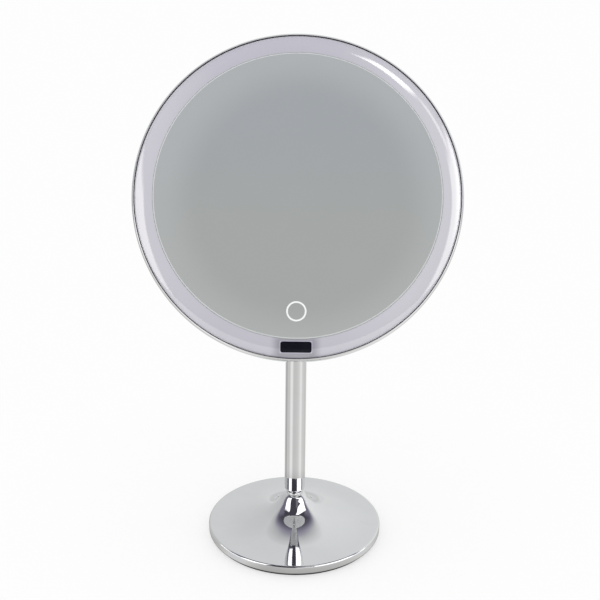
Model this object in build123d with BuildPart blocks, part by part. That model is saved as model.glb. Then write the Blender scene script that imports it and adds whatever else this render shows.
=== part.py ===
from build123d import *
import math
import os

# Lighted vanity mirror: a round mirror with a milky light ring and a polished
# rim, tilting on a friction hinge at the top of a tube stem that swivels on a
# trumpet-shaped weighted base.  Millimetres, +Z up, origin at the centre of the
# foot's underside, mirror facing -Y.  The head is drawn leaning back.
#
# Endings of names: _r radius, _t thickness, _x and _y across and up the mirror,
# _w distance out of the mirror from its front plane (negative is behind it),
# _z height above the table.

# ---------------------------------------------------------------- driving sizes
head_tilt_deg = 30.0          # lean of the mirror from upright, at rest
pivot_z = 276.8               # height of the tilt pin
pivot_back = 36.0             # tilt pin behind the mirror's front plane

glass_r, glass_t = 102.4, 3.0
glass_bevel = 0.7
mark_y = -83.0                # ring-shaped touch mark, below the mirror's centre
mark_outer_r, mark_inner_r = 7.25, 5.75
mark_depth = 0.3

lens_inner_r, lens_outer_r = 102.55, 115.6
lens_wall = 2.2
lens_skirt_t, lens_inner_wall_t = 1.7, 1.2
lens_front_w = -0.7           # lens surface at the glass edge
lens_edge_w = -4.6            # lens surface at the rim

tray_front_w, tray_back_w = -4.0, -6.0
floor_w = -11.5               # front of the tray's outer floor

window_w, window_h, window_y = 21.4, 7.15, -107.9   # width, height, centre
window_corner_r = 1.3

cover_flat_w = -21.0          # back of the rear cover's flat middle
cover_t = 2.0
cover_screw_r = 88.0          # pitch radius
screw_seat_w = cover_flat_w + 2.85   # seat of the recessed cover screw heads
yoke_screw_r = 15.5           # pitch radius

port_x, switch_x, light_x, ports_y = 28.0, -28.0, 38.0, -63.0
switch_travel = 3.0

stem_outer_r, stem_inner_r = 8.0, 6.7
stem_bottom_z, stem_top_z = 38.4, 266.3
pin_r = 2.5
bolt_r = 3.0
fit_gap = 0.02                # radial play of parts pushed into the stem

base_r, foot_r = 68.0, 65.3
pad_t = 1.3

# ---------------------------------------------------------------- work planes
tilt = math.radians(head_tilt_deg)
outward = (0.0, -math.cos(tilt), math.sin(tilt))
upward = (0.0, math.sin(tilt), math.cos(tilt))
downward = (0.0, -upward[1], -upward[2])
head_origin = (0.0, outward[1] * pivot_back, pivot_z + outward[2] * pivot_back)

# HEAD: x across, y up the mirror, z out of the mirror.  SECTION holds the
# mirror's own axis: x is the radius, y is the distance out of the mirror.
HEAD = Plane(origin=head_origin, x_dir=(1, 0, 0), z_dir=outward)
SECTION = Plane(origin=head_origin, x_dir=(1, 0, 0), z_dir=downward)
HEAD_AXIS = Axis(head_origin, outward)
OUTWARD = Axis((0, 0, 0), outward)     # for sorting faces and edges


# ---------------------------------------------------------------- helpers
# The sketch helpers draw into the sketch that is open where they are called.
def at(x, y, w):
    """A point given in the head's frame, as a point of the object's frame."""
    return Vector(
        x,
        head_origin[1] + upward[1] * y + outward[1] * w,
        head_origin[2] + upward[2] * y + outward[2] * w,
    )


def save(builder, name):
    """Label a finished piece and write its file."""
    builder.part.label = name
    export_step(builder.part, "parts/" + name + ".step")


def ring(outer_r, inner_r):
    Circle(outer_r)
    Circle(inner_r, mode=Mode.SUBTRACT)


def touch_mark():
    with Locations((0, mark_y)):
        ring(mark_outer_r, mark_inner_r)


def cross_slot(length, width):
    Rectangle(length, width)
    Rectangle(width, length)


def cover_screw_places():
    return PolarLocations(cover_screw_r, 6, start_angle=30)


def yoke_screw_places():
    return PolarLocations(yoke_screw_r, 4, start_angle=45)


def pin_place():
    """The tilt pin's centre, on a plane parallel to YZ."""
    return Locations((0, pivot_z))


os.makedirs("parts", exist_ok=True)

# ================================================================ mirror head
# Silvered glass with a polished bevel and a shallow ring etched for the touch mark
with BuildPart() as mirror_glass:
    with BuildSketch(SECTION):
        with BuildLine():
            Polyline(
                (0, 0),
                (glass_r - glass_bevel, 0),
                (glass_r, -glass_bevel),
                (glass_r, -glass_t),
                (0, -glass_t),
                close=True,
            )
        make_face()
    revolve(axis=HEAD_AXIS)
    with BuildSketch(HEAD):
        touch_mark()
    extrude(amount=-mark_depth, mode=Mode.SUBTRACT)
save(mirror_glass, "mirror_glass")

# White ring that fills the etched groove
with BuildPart() as touch_ring_mark:
    with BuildSketch(HEAD):
        touch_mark()
    extrude(amount=-mark_depth)
save(touch_ring_mark, "touch_ring_mark")

# Copper touch electrode stuck to the back of the glass
with BuildPart() as touch_pad:
    with BuildSketch(HEAD.offset(-glass_t)):
        with Locations((0, mark_y)):
            Circle(8.0)
    extrude(amount=-0.4)
save(touch_pad, "touch_pad")

# Foam tape ring that holds the glass to the tray
with BuildPart() as mirror_foam_tape:
    with BuildSketch(HEAD.offset(-glass_t)):
        ring(101.0, 93.0)
    extrude(amount=tray_front_w + glass_t)
save(mirror_foam_tape, "mirror_foam_tape")

# ---------------------------------------------------------------- light ring
# The lens front is an arc that leaves the glass edge level and drops to the rim.
lens_run = lens_outer_r - lens_inner_r
lens_drop = lens_front_w - lens_edge_w
lens_arc_r = (lens_run**2 + lens_drop**2) / (2 * lens_drop)
lens_mid_r = (lens_inner_r + lens_outer_r) / 2
lens_round = 0.2              # rounding where the front meets the skirt


def lens_point(radius, inset=0.0):
    """Point of the lens arc aimed at the given radius, moved inward by inset."""
    angle = math.asin((radius - lens_inner_r) / lens_arc_r)
    arc_r = lens_arc_r - inset
    return (
        lens_inner_r + arc_r * math.sin(angle),
        lens_front_w - lens_arc_r + arc_r * math.cos(angle),
    )


# Milky light ring: convex front, inner wall, outer skirt, sensor opening
with BuildPart() as light_ring_lens:
    front_end = lens_point(lens_outer_r - lens_round)
    skirt_top = (lens_outer_r, lens_edge_w - 0.25)
    skirt_in_r = lens_outer_r - lens_skirt_t
    wall_out_r = lens_inner_r + lens_inner_wall_t
    under_outer = lens_point(skirt_in_r, lens_wall)
    under_inner = lens_point(lens_inner_r + 1.6, lens_wall)
    with BuildSketch(SECTION):
        with BuildLine():
            ThreePointArc(lens_point(lens_inner_r), lens_point(lens_mid_r), front_end)
            ThreePointArc(front_end, (lens_outer_r - 0.03, lens_edge_w - 0.05), skirt_top)
            Polyline(
                skirt_top,
                (lens_outer_r, floor_w),
                (skirt_in_r, floor_w),
                (skirt_in_r, under_outer[1]),
            )
            Line((skirt_in_r, under_outer[1]), under_outer)
            ThreePointArc(under_outer, lens_point(lens_mid_r, lens_wall), under_inner)
            Polyline(
                under_inner,
                (wall_out_r, under_inner[1]),
                (wall_out_r, floor_w),
                (lens_inner_r, floor_w),
                lens_point(lens_inner_r),
            )
        make_face()
    revolve(axis=HEAD_AXIS)
    with BuildSketch(HEAD.offset(2)):
        with Locations((0, window_y)):
            RectangleRounded(window_w + 0.5, window_h + 0.5, window_corner_r + 0.25)
    extrude(amount=-9.0, mode=Mode.SUBTRACT)
save(light_ring_lens, "light_ring_lens")

# Dark infrared window: a plug whose face follows the lens, a hair below it
with BuildPart() as sensor_window:
    window_sink = 0.2
    face_inner = lens_point(lens_inner_r + 0.4, window_sink)
    face_outer = lens_point(lens_outer_r - 0.4, window_sink)
    with BuildSketch(HEAD.offset(1)):
        with Locations((0, window_y)):
            RectangleRounded(window_w, window_h, window_corner_r)
    extrude(amount=-7.6)
    with BuildSketch(SECTION):
        with BuildLine():
            ThreePointArc(face_inner, lens_point(108.0, window_sink), face_outer)
            Polyline(face_outer, (lens_outer_r - 0.6, -14), (lens_inner_r, -14), face_inner)
        make_face()
    revolve(axis=HEAD_AXIS, mode=Mode.INTERSECT)
save(sensor_window, "sensor_window")

# ---------------------------------------------------------------- rim
rim_inner_r, rim_outer_r = 116.05, 117.6
rim_front_w, rim_back_w = -3.3, -15.0
rim_lip = 0.15                # rounding of the inner front edge
rim_back_round = 0.7
crown_r = 2 * (rim_outer_r - rim_inner_r - rim_lip)
crown_start_deg = 30


def rim_crown(degrees):
    """Point of the rim's front shoulder; 90 degrees is where it turns upright."""
    angle = math.radians(degrees)
    start = math.radians(crown_start_deg)
    return (
        rim_outer_r - crown_r * (1 - math.sin(angle)),
        rim_front_w - crown_r * (math.cos(start) - math.cos(angle)),
    )


# Polished rim: small inner edge, broad rounded outer shoulder
with BuildPart() as rim_band:
    lip_mid = rim_lip * (1 - math.sqrt(0.5))
    with BuildSketch(SECTION):
        with BuildLine():
            ThreePointArc(
                (rim_inner_r, rim_front_w - rim_lip),
                (rim_inner_r + lip_mid, rim_front_w - lip_mid),
                (rim_inner_r + rim_lip, rim_front_w),
            )
            ThreePointArc(rim_crown(crown_start_deg), rim_crown(60), rim_crown(90))
            Line(rim_crown(90), (rim_outer_r, rim_back_w + rim_back_round))
            ThreePointArc(
                (rim_outer_r, rim_back_w + rim_back_round),
                (rim_outer_r - 0.205, rim_back_w + 0.205),
                (rim_outer_r - rim_back_round, rim_back_w),
            )
            Polyline(
                (rim_outer_r - rim_back_round, rim_back_w),
                (rim_inner_r, rim_back_w),
                (rim_inner_r, rim_front_w - rim_lip),
            )
        make_face()
    revolve(axis=HEAD_AXIS)
save(rim_band, "rim_band")

# Black gasket in the seam between lens and rim
with BuildPart() as rim_gasket:
    with BuildSketch(HEAD.offset(-5.9)):
        ring(rim_inner_r - 0.01, lens_outer_r + 0.01)
    extrude(amount=-4.0)
save(rim_gasket, "rim_gasket")

# ---------------------------------------------------------------- tray
tray_step_r = 101.5           # outside of the wall between middle and outer floor
tray_step_in_r = 99.5
tray_r = 115.8
tray_floor_t = 1.6

board_front_w, board_back_w = -14.6, -16.2
board_posts = [(x, y) for y in (-50, -72) for x in (-38, 38)]
battery_y = 52
led_wire_hole = (-101.4, -29.4)
sensor_wire_hole = (8.6, -105.5)

# Moulded tray: carries glass, lens, boards, battery, cover and hinge
with BuildPart() as chassis_tray:
    with BuildSketch(SECTION):
        with BuildLine():
            Polyline(
                (0, tray_front_w),
                (tray_step_r, tray_front_w),
                (tray_step_r, floor_w),
                (tray_r, floor_w),
                (tray_r, floor_w - tray_floor_t),
                (tray_step_in_r, floor_w - tray_floor_t),
                (tray_step_in_r, tray_back_w),
                (0, tray_back_w),
                close=True,
            )
        make_face()
    revolve(axis=HEAD_AXIS)
    # hinge block, ending 0.1 short of the cover
    with BuildSketch(HEAD.offset(tray_back_w)):
        Circle(22)
    extrude(amount=cover_flat_w + cover_t + 0.1 - tray_back_w)
    # cover screw posts
    with BuildSketch(HEAD.offset(tray_back_w)):
        with cover_screw_places():
            Circle(3.6)
    extrude(amount=-10.3)
    # control board posts
    with BuildSketch(HEAD.offset(tray_back_w)):
        with Locations(*board_posts):
            Circle(3.0)
    extrude(amount=board_front_w - tray_back_w)
    # battery fence, left as four corners
    with BuildSketch(HEAD.offset(tray_back_w)):
        with Locations((0, battery_y)):
            Rectangle(69.6, 47.6)
            Rectangle(66.4, 44.4, mode=Mode.SUBTRACT)
            Rectangle(40, 60, mode=Mode.SUBTRACT)
    extrude(amount=-4.0)
    # screw holes
    with BuildSketch(HEAD.offset(-6.8)):
        with cover_screw_places():
            Circle(1.5)
        with yoke_screw_places():
            Circle(1.5)
        with Locations(*board_posts):
            Circle(1.05)
    extrude(amount=-16, mode=Mode.SUBTRACT)
    # holes for the touch wire, light ring wires and sensor wires
    with BuildSketch(HEAD):
        with Locations((0, mark_y + 10.2), led_wire_hole, sensor_wire_hole):
            Circle(2.2)
    extrude(amount=-20, mode=Mode.SUBTRACT)
save(chassis_tray, "chassis_tray")

# ---------------------------------------------------------------- lights, sensor
front_board_t = 1.2           # LED board and sensor board
front_parts_w = floor_w + front_board_t
sensor_board_y, shroud_y = -108.5, -108.35
emitter_x, receiver_x = -5.2, 5.0

led_count = 50
led_first_deg, led_last_deg = -79.0, 259.0
led_pitch_deg = (led_last_deg - led_first_deg) / (led_count - 1)

# Ring-shaped LED board, open at the bottom for the sensor
with BuildPart() as led_ring_board:
    with BuildSketch(HEAD.offset(floor_w)):
        ring(112.9, 104.5)
        with Locations((0, -108)):
            Rectangle(31, 30, mode=Mode.SUBTRACT)
    extrude(amount=front_board_t)
save(led_ring_board, "led_ring_board")

# Surface-mount LEDs round the board
with BuildPart() as led_chips:
    with BuildSketch(HEAD.offset(front_parts_w)):
        with PolarLocations(
            108.7,
            led_count,
            start_angle=led_first_deg,
            angular_range=led_pitch_deg * led_count,
        ):
            Rectangle(2.8, 3.5)
    extrude(amount=0.8)
save(led_chips, "led_chips")

# Sensor board, its two infrared parts and the black shroud round them
with BuildPart() as sensor_board:
    with BuildSketch(HEAD.offset(floor_w)):
        with Locations((0, sensor_board_y)):
            Rectangle(27, 7.8)
    extrude(amount=front_board_t)
save(sensor_board, "sensor_board")

with BuildPart() as ir_emitter:
    with BuildSketch(HEAD.offset(front_parts_w)):
        with Locations((emitter_x, window_y)):
            Circle(1.5)
    extrude(amount=2.4)
    fillet(ir_emitter.edges().sort_by(OUTWARD)[-1], 1.2)
save(ir_emitter, "ir_emitter")

# Square body with a tapered round nose
with BuildPart() as ir_receiver:
    receiver_body_t = 1.2
    with BuildSketch(HEAD.offset(front_parts_w)):
        with Locations((receiver_x, window_y)):
            RectangleRounded(4.4, 4.0, 0.6)
    extrude(amount=receiver_body_t)
    with BuildSketch(HEAD.offset(front_parts_w + receiver_body_t)):
        with Locations((receiver_x, window_y)):
            Circle(1.6)
    extrude(amount=1.2, taper=20)
save(ir_receiver, "ir_receiver")

# Frame with a dividing wall between emitter and receiver
with BuildPart() as sensor_shroud:
    shroud_back_w = front_parts_w + 0.05
    shroud_depth = 3.0
    with BuildSketch(HEAD.offset(shroud_back_w)):
        with Locations((0, shroud_y)):
            Rectangle(24, 7.9)
            Rectangle(21, 5.9, mode=Mode.SUBTRACT)
    extrude(amount=shroud_depth)
    with BuildSketch(HEAD.offset(shroud_back_w)):
        with Locations((0, shroud_y)):
            Rectangle(1.0, 6.4)
    extrude(amount=shroud_depth)
save(sensor_shroud, "sensor_shroud")

# ---------------------------------------------------------------- electronics
with BuildPart() as control_board:
    with BuildSketch(HEAD.offset(board_front_w)):
        with Locations((0, -61)):
            RectangleRounded(84, 30, 2)
        with Locations((port_x, ports_y)):
            RectangleRounded(9.8, 4.1, 1.9, mode=Mode.SUBTRACT)
        with Locations(*board_posts):
            Circle(1.1, mode=Mode.SUBTRACT)
    extrude(amount=board_back_w - board_front_w)
save(control_board, "control_board")

# Chips, coil, sockets and the charge LED, all soldered to the board
with BuildPart() as control_chips:
    small_chip = (1.6, 0.9)
    # chips
    with BuildSketch(HEAD.offset(board_front_w)):
        with Locations((-10, -57)):
            Rectangle(7, 7)
        with Locations((12, -58)):
            Rectangle(5, 4)
        with Locations((-20, -69), (-15.5, -69), (17, -70), (20, -70)):
            Rectangle(*small_chip)
    extrude(amount=1.0)
    # coil
    with BuildSketch(HEAD.offset(board_front_w)):
        with Locations((2, -68)):
            RectangleRounded(6.4, 6.4, 1.2)
    extrude(amount=2.8)
    # wire sockets
    with BuildSketch(HEAD.offset(board_front_w)):
        with Locations((-26, -52), (24, -52), (-30, -71)):
            Rectangle(7.5, 5)
    extrude(amount=4.2)
    # charge LED, on the back
    with BuildSketch(HEAD.offset(board_back_w)):
        with Locations((light_x, ports_y)):
            Rectangle(*small_chip)
    extrude(amount=-0.6)
save(control_chips, "control_chips")

# Heads behind the board, shanks forward into the posts
with BuildPart() as board_screws:
    for screw_r, reach in ((2.1, -0.9), (1.0, 7.5)):
        with BuildSketch(HEAD.offset(board_back_w)):
            with Locations(*board_posts):
                Circle(screw_r)
        extrude(amount=reach)
save(board_screws, "board_screws")

# Charge socket: steel shell and the tongue with its contacts
port_front_w = -13.2          # closed end
port_mouth_w = -20.05
port_end_t = 0.6
port_outline = (9.2, 3.5, 1.7)     # width, height, corner radius
port_inside_w = port_front_w - port_end_t

with BuildPart() as usb_port_shell:
    with BuildSketch(HEAD.offset(port_front_w)):
        with Locations((port_x, ports_y)):
            RectangleRounded(*port_outline)
            RectangleRounded(8.5, 2.8, 1.35, mode=Mode.SUBTRACT)
    extrude(amount=port_mouth_w - port_front_w)
    with BuildSketch(HEAD.offset(port_front_w)):
        with Locations((port_x, ports_y)):
            RectangleRounded(*port_outline)
    extrude(amount=-port_end_t)
save(usb_port_shell, "usb_port_shell")

with BuildPart() as usb_port_tongue:
    with BuildSketch(HEAD.offset(port_inside_w)):
        with Locations((port_x, ports_y)):
            Rectangle(6.6, 0.8)
    extrude(amount=-5.4)
    with BuildSketch(HEAD.offset(port_inside_w)):
        with Locations((port_x, ports_y)):
            RectangleRounded(8.3, 2.6, 1.25)
    extrude(amount=-1.4)
save(usb_port_tongue, "usb_port_tongue")

with BuildPart() as power_switch_body:
    with BuildSketch(HEAD.offset(board_back_w)):
        with Locations((switch_x, ports_y)):
            Rectangle(11, 5.2)
    extrude(amount=-1.6)
save(power_switch_body, "power_switch_body")

# Slide knob, drawn in its off place, with three finger ridges
knob_x = switch_x - switch_travel / 2
knob_length = 3.6
knob_front_w, knob_back_w = -17.85, -20.6
ridge_pitch = 1.1

with BuildPart() as power_switch_slider:
    with BuildSketch(HEAD.offset(knob_front_w)):
        with Locations((knob_x, ports_y)):
            RectangleRounded(knob_length, 2.6, 0.4)
    extrude(amount=knob_back_w - knob_front_w)
    with BuildSketch(HEAD.offset(knob_back_w)):
        with Locations(*[(knob_x + i * ridge_pitch, ports_y) for i in (-1, 0, 1)]):
            Rectangle(0.5, 2.2)
    extrude(amount=-0.35)
save(power_switch_slider, "power_switch_slider")

with BuildPart() as charge_light_pipe:
    with BuildSketch(HEAD.offset(-16.95)):
        with Locations((light_x, ports_y)):
            Circle(1.15)
    extrude(amount=-2.95)
save(charge_light_pipe, "charge_light_pipe")

# ---------------------------------------------------------------- battery
foam_pad_t = 0.8
strap_front_w = -14.25
strap_width = 12
strap_length, strap_leg_t = 50, 1.6
strap_leg_y = (strap_length - strap_leg_t) / 2

# Lithium cell on a foam pad, under a strap
with BuildPart() as battery_foam_pad:
    with BuildSketch(HEAD.offset(tray_back_w)):
        with Locations((0, battery_y)):
            Rectangle(58, 38)
    extrude(amount=-foam_pad_t)
save(battery_foam_pad, "battery_foam_pad")

with BuildPart() as battery_cell:
    with BuildSketch(HEAD.offset(tray_back_w - foam_pad_t)):
        with Locations((0, battery_y)):
            RectangleRounded(64, 42, 3)
    extrude(amount=-7.4)
    flat_faces = battery_cell.faces().filter_by(Plane(origin=(0, 0, 0), z_dir=outward))
    fillet(flat_faces.edges(), 1.6)
save(battery_cell, "battery_cell")

# Band behind the cell, with a leg forward to the tray at each end
with BuildPart() as battery_strap:
    with BuildSketch(HEAD.offset(strap_front_w)):
        with Locations((0, battery_y)):
            Rectangle(strap_width, strap_length)
    extrude(amount=-0.5)
    with BuildSketch(HEAD.offset(strap_front_w)):
        with Locations((0, battery_y + strap_leg_y), (0, battery_y - strap_leg_y)):
            Rectangle(strap_width, strap_leg_t)
    extrude(amount=8.2)
save(battery_strap, "battery_strap")


# ---------------------------------------------------------------- wiring
def build_wires(name, wire_r, routes, tangents=None):
    """Sweep a round wire along a smooth curve through each route's points."""
    with BuildPart() as wires:
        for route in routes:
            with BuildLine() as run:
                Spline(*route, tangents=tangents)
            with BuildSketch(Plane(origin=run.line @ 0, z_dir=run.line % 0)):
                Circle(wire_r)
            sweep(path=run.line)
    save(wires, name)


def battery_route(shift):
    return [
        at(28 + shift, 30.2, -11.4),
        at(31 + shift, 12, -12.0),
        at(31 + shift, -20, -12.0),
        at(24 + shift, -48.8, -12.4),
    ]


def led_route(shift):
    hole_x, hole_y = led_wire_hole
    return [
        at(-26 + shift, -48.9, -12.6),
        at(-36 + shift * 0.5, -38 + shift, -13.0),
        at(-66, -31 + shift, -13.6),
        at(-94, hole_y + shift, -14.5),
        at(-100.2, hole_y + shift, -14.1),
        at(hole_x, hole_y + shift, floor_w - 0.05),
    ]


def sensor_route(shift):
    hole_x, hole_y = sensor_wire_hole
    return [
        at(-30 + shift, -74.2, -12.8),
        at(-25 + shift, -86 + shift * 0.5, -13.4),
        at(-1 + shift * 0.6, -98.4 + shift, -14.1),
        at(7.0 + shift, -103.9 + shift * 0.6, -13.85),
        at(hole_x + shift, hole_y, floor_w - 0.05),
    ]


touch_route = [
    at(0, mark_y + 7.0, -3.72),
    at(0, mark_y + 10.4, -5.4),
    at(-1, mark_y + 12, -10.0),
    at(-6.2, -62.0, -13.6),
]

# Each pair of wires is one route shifted to either side.
build_wires("battery_wires", 0.6, [battery_route(shift) for shift in (-0.8, 0.8)])
build_wires(
    "led_wires", 0.45, [led_route(shift) for shift in (-0.65, 0.65)], (upward, outward)
)
build_wires(
    "sensor_wires", 0.42, [sensor_route(shift) for shift in (-0.6, 0.6)], (downward, outward)
)
build_wires(
    "touch_wire", 0.28, [touch_route], (upward, (outward[0], -outward[1], -outward[2]))
)

# ---------------------------------------------------------------- rear cover
cover_lip_w = floor_w - 1.7   # front edge of the cover
cover_inside_w = cover_flat_w + cover_t

# Cover outlines: radius, rise forward of the flat middle's back face
cover_outside = [
    (radius, cover_flat_w + rise)
    for radius, rise in (
        (30.0, 0), (60.0, 0.55), (85.0, 1.75), (100.0, 3.2), (110.0, 4.9), (115.7, 6.6),
    )
]
cover_inside = [
    (radius, cover_flat_w + rise)
    for radius, rise in (
        (30.0, cover_t), (60.0, 2.55), (85.0, 3.8), (100.0, 5.35), (109.0, 7.0),
    )
] + [(113.2, cover_lip_w)]

with BuildPart() as rear_cover:
    cover_edge = (cover_outside[-1][0], cover_lip_w)
    with BuildSketch(SECTION):
        with BuildLine():
            Line((0, cover_flat_w), cover_outside[0])
            Spline(*cover_outside, tangents=((1, 0), (1, 0.42)))
            Line(cover_outside[-1], cover_edge)
            Line(cover_edge, cover_inside[-1])
            Spline(*reversed(cover_inside), tangents=((-1, -0.3), (-1, 0)))
            Line(cover_inside[0], (0, cover_inside_w))
            Line((0, cover_inside_w), (0, cover_flat_w))
        make_face()
    revolve(axis=HEAD_AXIS)
    # screw holes, with recesses for the outer heads
    with BuildSketch(HEAD.offset(-10)):
        with cover_screw_places():
            Circle(1.7)
        with yoke_screw_places():
            Circle(1.7)
    extrude(amount=-20, mode=Mode.SUBTRACT)
    with BuildSketch(HEAD.offset(screw_seat_w)):
        with cover_screw_places():
            Circle(3.3)
    extrude(amount=-8, mode=Mode.SUBTRACT)
    # openings for socket, switch and charge light
    with BuildSketch(HEAD.offset(-14)):
        with Locations((port_x, ports_y)):
            RectangleRounded(9.7, 4.0, 1.95)
        with Locations((switch_x, ports_y)):
            RectangleRounded(knob_length + switch_travel + 0.8, 3.1, 0.5)
        with Locations((light_x, ports_y)):
            Circle(1.2)
    extrude(amount=-10, mode=Mode.SUBTRACT)
    # shallow finger recess round the switch
    with BuildSketch(HEAD.offset(cover_flat_w + 1.45)):
        with Locations((switch_x, ports_y)):
            RectangleRounded(12.5, 6.6, 2.4)
    extrude(amount=-6, mode=Mode.SUBTRACT)
save(rear_cover, "rear_cover")

# Heads, shanks, then cross slots in the heads
with BuildPart() as rear_cover_screws:
    cover_head_t = 0.9
    for screw_r, reach in ((2.9, -cover_head_t), (1.45, 9.0)):
        with BuildSketch(HEAD.offset(screw_seat_w)):
            with cover_screw_places():
                Circle(screw_r)
        extrude(amount=reach)
    with BuildSketch(HEAD.offset(screw_seat_w - cover_head_t)):
        with cover_screw_places():
            cross_slot(3.2, 0.7)
    extrude(amount=0.5, mode=Mode.SUBTRACT)
save(rear_cover_screws, "rear_cover_screws")

# ---------------------------------------------------------------- tilt hinge
knuckle_half, knuckle_r = 5.8, 7.2   # half width along the pin, radius of the eye
ear_in, ear_out, ear_r = 6.5, 9.5, 7.4   # ear faces from the middle, ear radius
ear_reach = pivot_back + cover_flat_w - 2.0   # from the pin into the yoke plate
yoke_plate_t = 2.8
yoke_back_w = cover_flat_w - yoke_plate_t
yoke_head_t = 1.5
pin_head_r, pin_head_t = 4.4, 2.4
pin_head_round = 1.1
nut_half_t = pin_head_t / 2

# Yoke: round plate on the cover with two ears round the knuckle
with BuildPart() as hinge_bracket:
    with BuildSketch(HEAD.offset(cover_flat_w)):
        Circle(21)
    extrude(amount=-yoke_plate_t)
    fillet(hinge_bracket.faces().sort_by(OUTWARD)[0].edges(), 1.0)
    for side in (-1, 1):
        ear_origin = (side * ear_in, 0, pivot_z)
        with BuildSketch(Plane(origin=ear_origin, x_dir=outward, z_dir=(side, 0, 0))):
            Circle(ear_r)
            with Locations((ear_reach / 2, 0)):
                Rectangle(ear_reach, 2 * ear_r)
        extrude(amount=ear_out - ear_in)
    with BuildSketch(Plane.YZ):
        with pin_place():
            Circle(pin_r + 0.03)
    extrude(amount=20, both=True, mode=Mode.SUBTRACT)
    with BuildSketch(HEAD.offset(cover_flat_w)):
        with yoke_screw_places():
            Circle(1.6)
    extrude(amount=-6, mode=Mode.SUBTRACT)
save(hinge_bracket, "hinge_bracket")

with BuildPart() as hinge_bracket_screws:
    with BuildSketch(HEAD.offset(yoke_back_w)):
        with yoke_screw_places():
            Circle(2.7)
    extrude(amount=-yoke_head_t)
    fillet(hinge_bracket_screws.faces().group_by(OUTWARD)[0].edges(), 0.6)
    with BuildSketch(HEAD.offset(yoke_back_w)):
        with yoke_screw_places():
            Circle(1.48)
    extrude(amount=14)
    with BuildSketch(HEAD.offset(yoke_back_w - yoke_head_t)):
        with yoke_screw_places():
            cross_slot(3.0, 0.7)
    extrude(amount=0.7, mode=Mode.SUBTRACT)
save(hinge_bracket_screws, "hinge_bracket_screws")

# Tilt screw through ears and knuckle, with its dome nut
with BuildPart() as hinge_screw:
    pin_end = 10.6
    with BuildSketch(Plane.YZ.offset(-pin_end)):
        with pin_place():
            Circle(pin_r)
    extrude(amount=pin_end + ear_out)
    with BuildSketch(Plane.YZ.offset(ear_out)):
        with pin_place():
            Circle(pin_head_r)
    extrude(amount=pin_head_t)
    fillet(hinge_screw.faces().sort_by(Axis.X)[-1].edges(), pin_head_round)
    with BuildSketch(Plane.YZ.offset(ear_out + 1.0)):
        with pin_place():
            RegularPolygon(1.75, 6)
    extrude(amount=2, mode=Mode.SUBTRACT)
save(hinge_screw, "hinge_screw")

# Inner half bored for the screw, outer half solid
with BuildPart() as hinge_nut:
    with BuildSketch(Plane.YZ.offset(-ear_out)):
        with pin_place():
            ring(pin_head_r, pin_r + 0.02)
    extrude(amount=-nut_half_t)
    with BuildSketch(Plane.YZ.offset(-ear_out - nut_half_t)):
        with pin_place():
            Circle(pin_head_r)
    extrude(amount=-nut_half_t)
    fillet(hinge_nut.faces().sort_by(Axis.X)[0].edges(), pin_head_round)
save(hinge_nut, "hinge_nut")

# Friction washers between ears and knuckle
with BuildPart() as friction_washers:
    for side in (-1, 1):
        washer_origin = (side * (knuckle_half + 0.05), 0, pivot_z)
        with BuildSketch(Plane(origin=washer_origin, x_dir=(0, 1, 0), z_dir=(side, 0, 0))):
            ring(6.4, pin_r + 0.05)
        extrude(amount=0.6)
save(friction_washers, "friction_washers")

# ================================================================ stem
shoulder_top_z = stem_top_z + 1.6
shoulder_round = 1.2
stem_roll = 1.2               # rounding of the tube's lower end
plug_top_z = 57.0

# Knuckle: eye on the tilt pin, shoulder and spigot down into the tube
with BuildPart() as neck_knuckle:
    round_start = (stem_outer_r, shoulder_top_z - shoulder_round)
    round_end = (stem_outer_r - shoulder_round, shoulder_top_z)
    with BuildSketch(Plane.XZ):
        with BuildLine():
            Polyline(
                (0, shoulder_top_z), (0, stem_top_z), (stem_outer_r, stem_top_z), round_start
            )
            RadiusArc(round_start, round_end, -shoulder_round)
            Line(round_end, (0, shoulder_top_z))
        make_face()
    revolve(axis=Axis.Z)
    with BuildSketch(Plane.XY.offset(shoulder_top_z)):
        RectangleRounded(2 * knuckle_half, 2 * knuckle_r - 3.0, 1.5)
    extrude(amount=pivot_z - shoulder_top_z)
    with BuildSketch(Plane.YZ.offset(-knuckle_half)):
        with pin_place():
            Circle(knuckle_r)
    extrude(amount=2 * knuckle_half)
    with BuildSketch(Plane.XY.offset(stem_top_z)):
        Circle(stem_inner_r - fit_gap)
    extrude(amount=-18)
    with BuildSketch(Plane.YZ):
        with pin_place():
            Circle(pin_r + 0.06)
    extrude(amount=20, both=True, mode=Mode.SUBTRACT)
save(neck_knuckle, "neck_knuckle")

# Polished tube, rolled in at its lower end
with BuildPart() as stem_tube:
    roll_start = (stem_outer_r, stem_bottom_z + stem_roll)
    roll_end = (stem_outer_r - stem_roll, stem_bottom_z)
    with BuildSketch(Plane.XZ):
        with BuildLine():
            ThreePointArc(roll_start, (stem_outer_r - 0.35, stem_bottom_z + 0.35), roll_end)
            Polyline(
                roll_end,
                (stem_inner_r, stem_bottom_z),
                (stem_inner_r, stem_top_z),
                (stem_outer_r, stem_top_z),
                roll_start,
            )
        make_face()
    revolve(axis=Axis.Z)
save(stem_tube, "stem_tube")

with BuildPart() as stem_bottom_plug:
    with BuildSketch(Plane.XY.offset(stem_bottom_z)):
        ring(stem_inner_r - fit_gap, bolt_r + 0.06)
    extrude(amount=plug_top_z - stem_bottom_z)
save(stem_bottom_plug, "stem_bottom_plug")

# ================================================================ swivel and base
# Rounded shoulder of the trumpet base, from the seat under the washer to the
# neck; angles are the slope from level.
dome_z, dome_centre_r, dome_r = 35.39, 3.753, 6.5   # level top of the arc, its radii
dome_top_deg, dome_end_deg = 25.0, 55.0


def dome(degrees):
    """Point (radius, height) of the shoulder arc where it has the given slope."""
    angle = math.radians(degrees)
    return (
        dome_centre_r + dome_r * math.sin(angle),
        dome_z - dome_r * (1 - math.cos(angle)),
    )


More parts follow.
